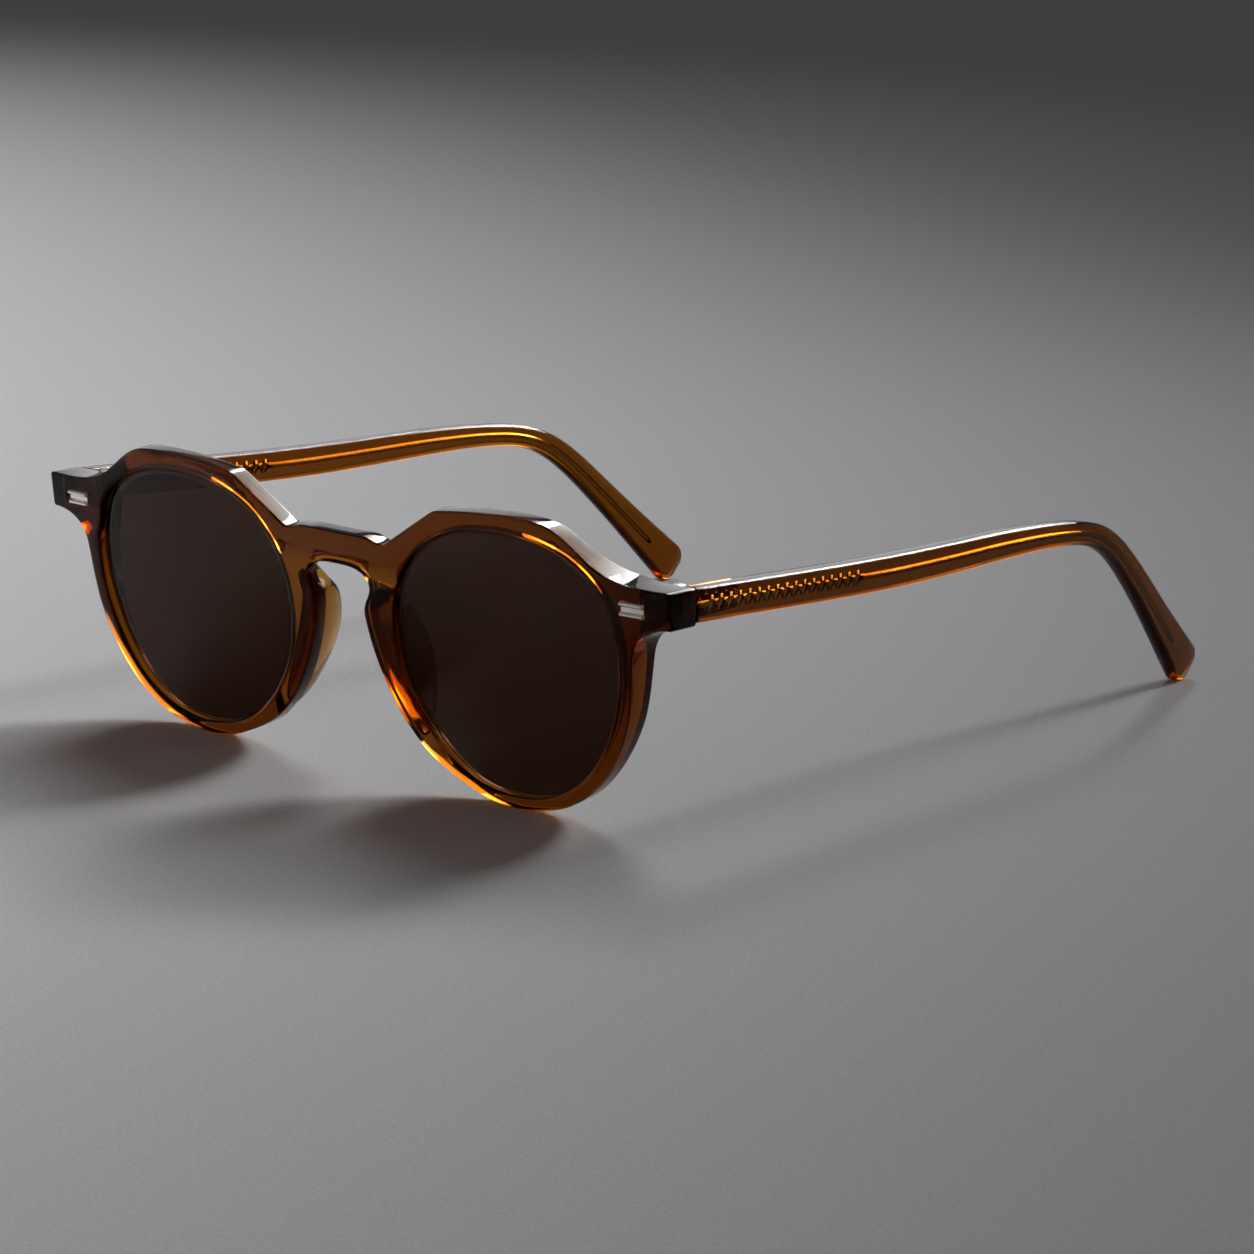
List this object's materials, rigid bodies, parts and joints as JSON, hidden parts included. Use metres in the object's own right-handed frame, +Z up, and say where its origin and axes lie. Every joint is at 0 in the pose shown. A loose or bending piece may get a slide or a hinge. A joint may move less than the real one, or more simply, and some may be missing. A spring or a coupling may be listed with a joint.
{
  "type": "sunglasses",
  "caption": "Panto sunglasses in clear amber acetate: brown lenses, keyhole bridge, plaques on the end pieces and wire-cored temples that fold on pin hinges.",
  "frame": {"origin": "middle of the outline seen from above, on the surface the sunglasses stand on", "axes": "-Y is the way the wearer looks, +X is the wearer's left, +Z is up; the temples are open"},
  "size_m": [0.14, 0.1476, 0.0475],
  "materials": {
    "acetate": "polished transparent amber",
    "pad_acetate": "polished transparent light amber",
    "lens_brown": "polished dark brown tint",
    "silver": "polished",
    "steel": "satin"
  },
  "bodies": {
    "front": {"front_frame": "acetate", "lens_left": "lens_brown", "nose_pad_left": "pad_acetate", "rivet_plaque_left": "silver", "rivet_pin_inner_left": "steel", "rivet_pin_outer_left": "steel", "hinge_front_left": "steel", "hinge_screw_left": "steel", "lens_right": "lens_brown", "nose_pad_right": "pad_acetate", "rivet_plaque_right": "silver", "rivet_pin_inner_right": "steel", "rivet_pin_outer_right": "steel", "hinge_front_right": "steel", "hinge_screw_right": "steel"},
    "temple_left_arm": {"temple_left": "acetate", "hinge_temple_left": "steel", "core_wire_left": "steel"},
    "temple_right_arm": {"temple_right": "acetate", "hinge_temple_right": "steel", "core_wire_right": "steel"}
  },
  "joints": [
    {"name": "fold_left", "type": "hinge", "parent": "front", "child": "temple_left_arm", "pos_m": [0.065, -0.06392, 0.03672], "axis": [0, 0, 1], "range_deg": [0, 87]},
    {"name": "fold_right", "type": "hinge", "parent": "front", "child": "temple_right_arm", "pos_m": [-0.065, -0.06392, 0.03672], "axis": [0, 0, -1], "range_deg": [0, 78]}
  ]
}
